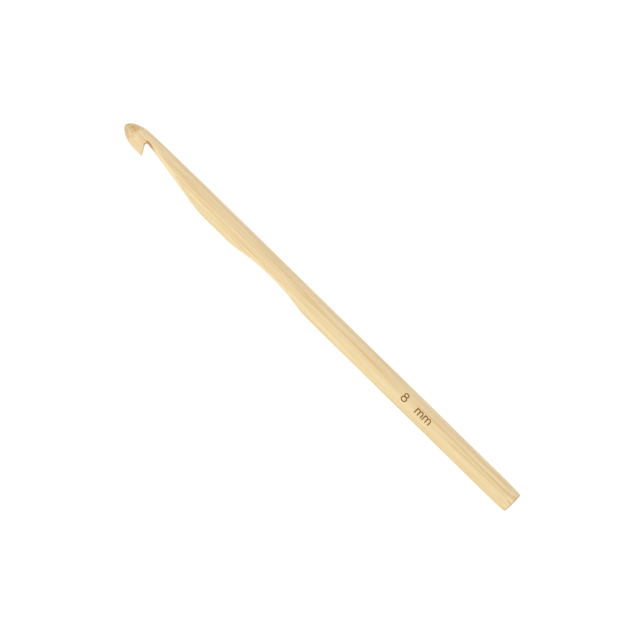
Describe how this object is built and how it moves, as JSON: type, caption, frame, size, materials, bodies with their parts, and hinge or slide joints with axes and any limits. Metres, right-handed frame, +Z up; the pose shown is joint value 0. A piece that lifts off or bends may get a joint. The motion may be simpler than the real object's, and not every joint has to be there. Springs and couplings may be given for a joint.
{
  "type": "crochet hook",
  "caption": "Bamboo crochet hook: round shaft with a bullet nose, an undercut mouth, a tapered throat and a thumb rest.",
  "frame": {"origin": "under the middle of the hook, on the surface that it lies on", "axes": "+X along the shaft from nose to butt, +Y towards the straight spine (the mouth opens towards -Y), +Z up"},
  "size_m": [0.177, 0.008, 0.008],
  "materials": {
    "bamboo": "satin"
  },
  "bodies": {
    "root": {"hook_body": "bamboo"}
  },
  "joints": []
}
